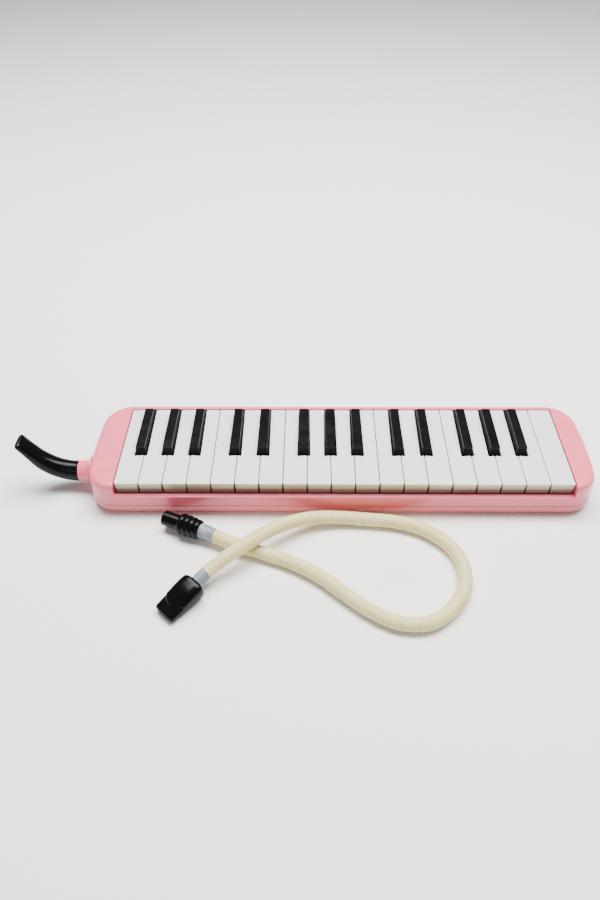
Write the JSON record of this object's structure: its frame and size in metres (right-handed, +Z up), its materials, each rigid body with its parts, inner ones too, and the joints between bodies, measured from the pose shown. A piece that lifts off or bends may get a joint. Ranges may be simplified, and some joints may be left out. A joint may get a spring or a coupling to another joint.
{
  "type": "melodica",
  "caption": "Keyed free-reed wind instrument with pink case, piano-style keys, a curved plug-in mouthpiece and a corrugated blowing hose that lies beside it.",
  "frame": {"origin": "centre of the case's underside, on the plane that it rests on", "axes": "+X along the keyboard towards the high notes, +Y towards the back rim, +Z up"},
  "size_m": [0.4871, 0.2195, 0.0534],
  "materials": {
    "case_pink": "gloss moulded ABS, pink",
    "key_white": "gloss moulded, white",
    "key_black": "gloss moulded, black",
    "black_plastic": "gloss moulded, black",
    "inner_plastic": "matt moulded, dark grey",
    "cover_plastic": "matt moulded, black",
    "steel": "zinc plated",
    "spring_steel": "rolled strip and wire",
    "reed_brass": "rolled sheet, filed",
    "felt": "pressed wool felt",
    "gasket": "moulded rubber",
    "foam": "closed-cell foam",
    "webbing": "woven webbing",
    "hose_vinyl": "soft corrugated vinyl, cream",
    "cuff_vinyl": "soft clear vinyl, greyish"
  },
  "bodies": {
    "case": {"upper_case": "case_pink", "lower_case": "case_pink", "blow_socket": "case_pink", "keybed": "inner_plastic", "key_rod": "spring_steel", "key_springs": "spring_steel", "front_felt": "felt", "reed_plate_low": "reed_brass", "reed_plate_high": "reed_brass", "reeds": "reed_brass", "reed_rivets": "reed_brass", "reed_plate_screws": "steel", "chamber_gasket": "gasket", "chamber_cover": "cover_plastic", "chamber_screws": "steel", "socket_seal": "foam", "spit_spring": "spring_steel", "case_screws": "steel", "hand_strap": "webbing", "strap_buttons": "steel", "hose": "hose_vinyl", "hose_cuffs": "cuff_vinyl", "hose_connector": "black_plastic", "hose_mouthpiece": "black_plastic"},
    "white_key_01": {"white_key_01": "key_white"},
    "white_key_02": {"white_key_02": "key_white"},
    "white_key_03": {"white_key_03": "key_white"},
    "white_key_04": {"white_key_04": "key_white"},
    "white_key_05": {"white_key_05": "key_white"},
    "white_key_06": {"white_key_06": "key_white"},
    "white_key_07": {"white_key_07": "key_white"},
    "white_key_08": {"white_key_08": "key_white"},
    "white_key_09": {"white_key_09": "key_white"},
    "white_key_10": {"white_key_10": "key_white"},
    "white_key_11": {"white_key_11": "key_white"},
    "white_key_12": {"white_key_12": "key_white"},
    "white_key_13": {"white_key_13": "key_white"},
    "white_key_14": {"white_key_14": "key_white"},
    "white_key_15": {"white_key_15": "key_white"},
    "white_key_16": {"white_key_16": "key_white"},
    "white_key_17": {"white_key_17": "key_white"},
    "white_key_18": {"white_key_18": "key_white"},
    "white_key_19": {"white_key_19": "key_white"},
    "black_key_01": {"black_key_01": "key_black"},
    "black_key_02": {"black_key_02": "key_black"},
    "black_key_03": {"black_key_03": "key_black"},
    "black_key_04": {"black_key_04": "key_black"},
    "black_key_05": {"black_key_05": "key_black"},
    "black_key_06": {"black_key_06": "key_black"},
    "black_key_07": {"black_key_07": "key_black"},
    "black_key_08": {"black_key_08": "key_black"},
    "black_key_09": {"black_key_09": "key_black"},
    "black_key_10": {"black_key_10": "key_black"},
    "black_key_11": {"black_key_11": "key_black"},
    "black_key_12": {"black_key_12": "key_black"},
    "black_key_13": {"black_key_13": "key_black"},
    "mouthpiece_ring": {"mouthpiece_ring": "gasket"},
    "mouthpiece": {"mouthpiece": "black_plastic"},
    "spit_button": {"spit_button": "black_plastic", "spit_seal": "gasket"}
  },
  "joints": [
    {"name": "white_key_01_press", "type": "hinge", "parent": "case", "child": "white_key_01", "pos_m": [0, 0.0135, 0.0245], "axis": [1, 0, 0], "range_deg": [0, 3.6], "stiffness_Nm_per_rad": 0.12, "springref_deg": -14.32, "deforming": ["key_springs"]},
    {"name": "white_key_02_press", "type": "hinge", "parent": "case", "child": "white_key_02", "pos_m": [0, 0.0135, 0.0245], "axis": [1, 0, 0], "range_deg": [0, 3.6], "stiffness_Nm_per_rad": 0.12, "springref_deg": -14.32},
    {"name": "white_key_03_press", "type": "hinge", "parent": "case", "child": "white_key_03", "pos_m": [0, 0.0135, 0.0245], "axis": [1, 0, 0], "range_deg": [0, 3.6], "stiffness_Nm_per_rad": 0.12, "springref_deg": -14.32},
    {"name": "white_key_04_press", "type": "hinge", "parent": "case", "child": "white_key_04", "pos_m": [0, 0.0135, 0.0245], "axis": [1, 0, 0], "range_deg": [0, 3.6], "stiffness_Nm_per_rad": 0.12, "springref_deg": -14.32},
    {"name": "white_key_05_press", "type": "hinge", "parent": "case", "child": "white_key_05", "pos_m": [0, 0.0135, 0.0245], "axis": [1, 0, 0], "range_deg": [0, 3.6], "stiffness_Nm_per_rad": 0.12, "springref_deg": -14.32},
    {"name": "white_key_06_press", "type": "hinge", "parent": "case", "child": "white_key_06", "pos_m": [0, 0.0135, 0.0245], "axis": [1, 0, 0], "range_deg": [0, 3.6], "stiffness_Nm_per_rad": 0.12, "springref_deg": -14.32},
    {"name": "white_key_07_press", "type": "hinge", "parent": "case", "child": "white_key_07", "pos_m": [0, 0.0135, 0.0245], "axis": [1, 0, 0], "range_deg": [0, 3.6], "stiffness_Nm_per_rad": 0.12, "springref_deg": -14.32},
    {"name": "white_key_08_press", "type": "hinge", "parent": "case", "child": "white_key_08", "pos_m": [0, 0.0135, 0.0245], "axis": [1, 0, 0], "range_deg": [0, 3.6], "stiffness_Nm_per_rad": 0.12, "springref_deg": -14.32},
    {"name": "white_key_09_press", "type": "hinge", "parent": "case", "child": "white_key_09", "pos_m": [0, 0.0135, 0.0245], "axis": [1, 0, 0], "range_deg": [0, 3.6], "stiffness_Nm_per_rad": 0.12, "springref_deg": -14.32},
    {"name": "white_key_10_press", "type": "hinge", "parent": "case", "child": "white_key_10", "pos_m": [0, 0.0135, 0.0245], "axis": [1, 0, 0], "range_deg": [0, 3.6], "stiffness_Nm_per_rad": 0.12, "springref_deg": -14.32},
    {"name": "white_key_11_press", "type": "hinge", "parent": "case", "child": "white_key_11", "pos_m": [0, 0.0135, 0.0245], "axis": [1, 0, 0], "range_deg": [0, 3.6], "stiffness_Nm_per_rad": 0.12, "springref_deg": -14.32},
    {"name": "white_key_12_press", "type": "hinge", "parent": "case", "child": "white_key_12", "pos_m": [0, 0.0135, 0.0245], "axis": [1, 0, 0], "range_deg": [0, 3.6], "stiffness_Nm_per_rad": 0.12, "springref_deg": -14.32},
    {"name": "white_key_13_press", "type": "hinge", "parent": "case", "child": "white_key_13", "pos_m": [0, 0.0135, 0.0245], "axis": [1, 0, 0], "range_deg": [0, 3.6], "stiffness_Nm_per_rad": 0.12, "springref_deg": -14.32},
    {"name": "white_key_14_press", "type": "hinge", "parent": "case", "child": "white_key_14", "pos_m": [0, 0.0135, 0.0245], "axis": [1, 0, 0], "range_deg": [0, 3.6], "stiffness_Nm_per_rad": 0.12, "springref_deg": -14.32},
    {"name": "white_key_15_press", "type": "hinge", "parent": "case", "child": "white_key_15", "pos_m": [0, 0.0135, 0.0245], "axis": [1, 0, 0], "range_deg": [0, 3.6], "stiffness_Nm_per_rad": 0.12, "springref_deg": -14.32},
    {"name": "white_key_16_press", "type": "hinge", "parent": "case", "child": "white_key_16", "pos_m": [0, 0.0135, 0.0245], "axis": [1, 0, 0], "range_deg": [0, 3.6], "stiffness_Nm_per_rad": 0.12, "springref_deg": -14.32},
    {"name": "white_key_17_press", "type": "hinge", "parent": "case", "child": "white_key_17", "pos_m": [0, 0.0135, 0.0245], "axis": [1, 0, 0], "range_deg": [0, 3.6], "stiffness_Nm_per_rad": 0.12, "springref_deg": -14.32},
    {"name": "white_key_18_press", "type": "hinge", "parent": "case", "child": "white_key_18", "pos_m": [0, 0.0135, 0.0245], "axis": [1, 0, 0], "range_deg": [0, 3.6], "stiffness_Nm_per_rad": 0.12, "springref_deg": -14.32},
    {"name": "white_key_19_press", "type": "hinge", "parent": "case", "child": "white_key_19", "pos_m": [0, 0.0135, 0.0245], "axis": [1, 0, 0], "range_deg": [0, 3.6], "stiffness_Nm_per_rad": 0.12, "springref_deg": -14.32},
    {"name": "black_key_01_press", "type": "hinge", "parent": "case", "child": "black_key_01", "pos_m": [0, 0.0135, 0.0245], "axis": [1, 0, 0], "range_deg": [0, 3.6], "stiffness_Nm_per_rad": 0.12, "springref_deg": -14.32},
    {"name": "black_key_02_press", "type": "hinge", "parent": "case", "child": "black_key_02", "pos_m": [0, 0.0135, 0.0245], "axis": [1, 0, 0], "range_deg": [0, 3.6], "stiffness_Nm_per_rad": 0.12, "springref_deg": -14.32},
    {"name": "black_key_03_press", "type": "hinge", "parent": "case", "child": "black_key_03", "pos_m": [0, 0.0135, 0.0245], "axis": [1, 0, 0], "range_deg": [0, 3.6], "stiffness_Nm_per_rad": 0.12, "springref_deg": -14.32},
    {"name": "black_key_04_press", "type": "hinge", "parent": "case", "child": "black_key_04", "pos_m": [0, 0.0135, 0.0245], "axis": [1, 0, 0], "range_deg": [0, 3.6], "stiffness_Nm_per_rad": 0.12, "springref_deg": -14.32},
    {"name": "black_key_05_press", "type": "hinge", "parent": "case", "child": "black_key_05", "pos_m": [0, 0.0135, 0.0245], "axis": [1, 0, 0], "range_deg": [0, 3.6], "stiffness_Nm_per_rad": 0.12, "springref_deg": -14.32},
    {"name": "black_key_06_press", "type": "hinge", "parent": "case", "child": "black_key_06", "pos_m": [0, 0.0135, 0.0245], "axis": [1, 0, 0], "range_deg": [0, 3.6], "stiffness_Nm_per_rad": 0.12, "springref_deg": -14.32},
    {"name": "black_key_07_press", "type": "hinge", "parent": "case", "child": "black_key_07", "pos_m": [0, 0.0135, 0.0245], "axis": [1, 0, 0], "range_deg": [0, 3.6], "stiffness_Nm_per_rad": 0.12, "springref_deg": -14.32},
    {"name": "black_key_08_press", "type": "hinge", "parent": "case", "child": "black_key_08", "pos_m": [0, 0.0135, 0.0245], "axis": [1, 0, 0], "range_deg": [0, 3.6], "stiffness_Nm_per_rad": 0.12, "springref_deg": -14.32},
    {"name": "black_key_09_press", "type": "hinge", "parent": "case", "child": "black_key_09", "pos_m": [0, 0.0135, 0.0245], "axis": [1, 0, 0], "range_deg": [0, 3.6], "stiffness_Nm_per_rad": 0.12, "springref_deg": -14.32},
    {"name": "black_key_10_press", "type": "hinge", "parent": "case", "child": "black_key_10", "pos_m": [0, 0.0135, 0.0245], "axis": [1, 0, 0], "range_deg": [0, 3.6], "stiffness_Nm_per_rad": 0.12, "springref_deg": -14.32},
    {"name": "black_key_11_press", "type": "hinge", "parent": "case", "child": "black_key_11", "pos_m": [0, 0.0135, 0.0245], "axis": [1, 0, 0], "range_deg": [0, 3.6], "stiffness_Nm_per_rad": 0.12, "springref_deg": -14.32},
    {"name": "black_key_12_press", "type": "hinge", "parent": "case", "child": "black_key_12", "pos_m": [0, 0.0135, 0.0245], "axis": [1, 0, 0], "range_deg": [0, 3.6], "stiffness_Nm_per_rad": 0.12, "springref_deg": -14.32},
    {"name": "black_key_13_press", "type": "hinge", "parent": "case", "child": "black_key_13", "pos_m": [0, 0.0135, 0.0245], "axis": [1, 0, 0], "range_deg": [0, 3.6], "stiffness_Nm_per_rad": 0.12, "springref_deg": -14.32},
    {"name": "mouthpiece_pull", "type": "slide", "parent": "case", "child": "mouthpiece_ring", "axis": [-1, 0, 0], "range_m": [0, 0.022]},
    {"name": "mouthpiece_swivel", "type": "hinge", "parent": "mouthpiece_ring", "child": "mouthpiece", "pos_m": [-0.226, -0.017, 0.016], "axis": [1, 0, 0], "range_deg": [-90, 90]},
    {"name": "spit_button_press", "type": "slide", "parent": "case", "child": "spit_button", "axis": [0, -1, 0], "range_m": [0, 0.0016], "stiffness_N_per_m": 400, "springref_m": -0.0012, "deforming": ["spit_spring"]}
  ]
}
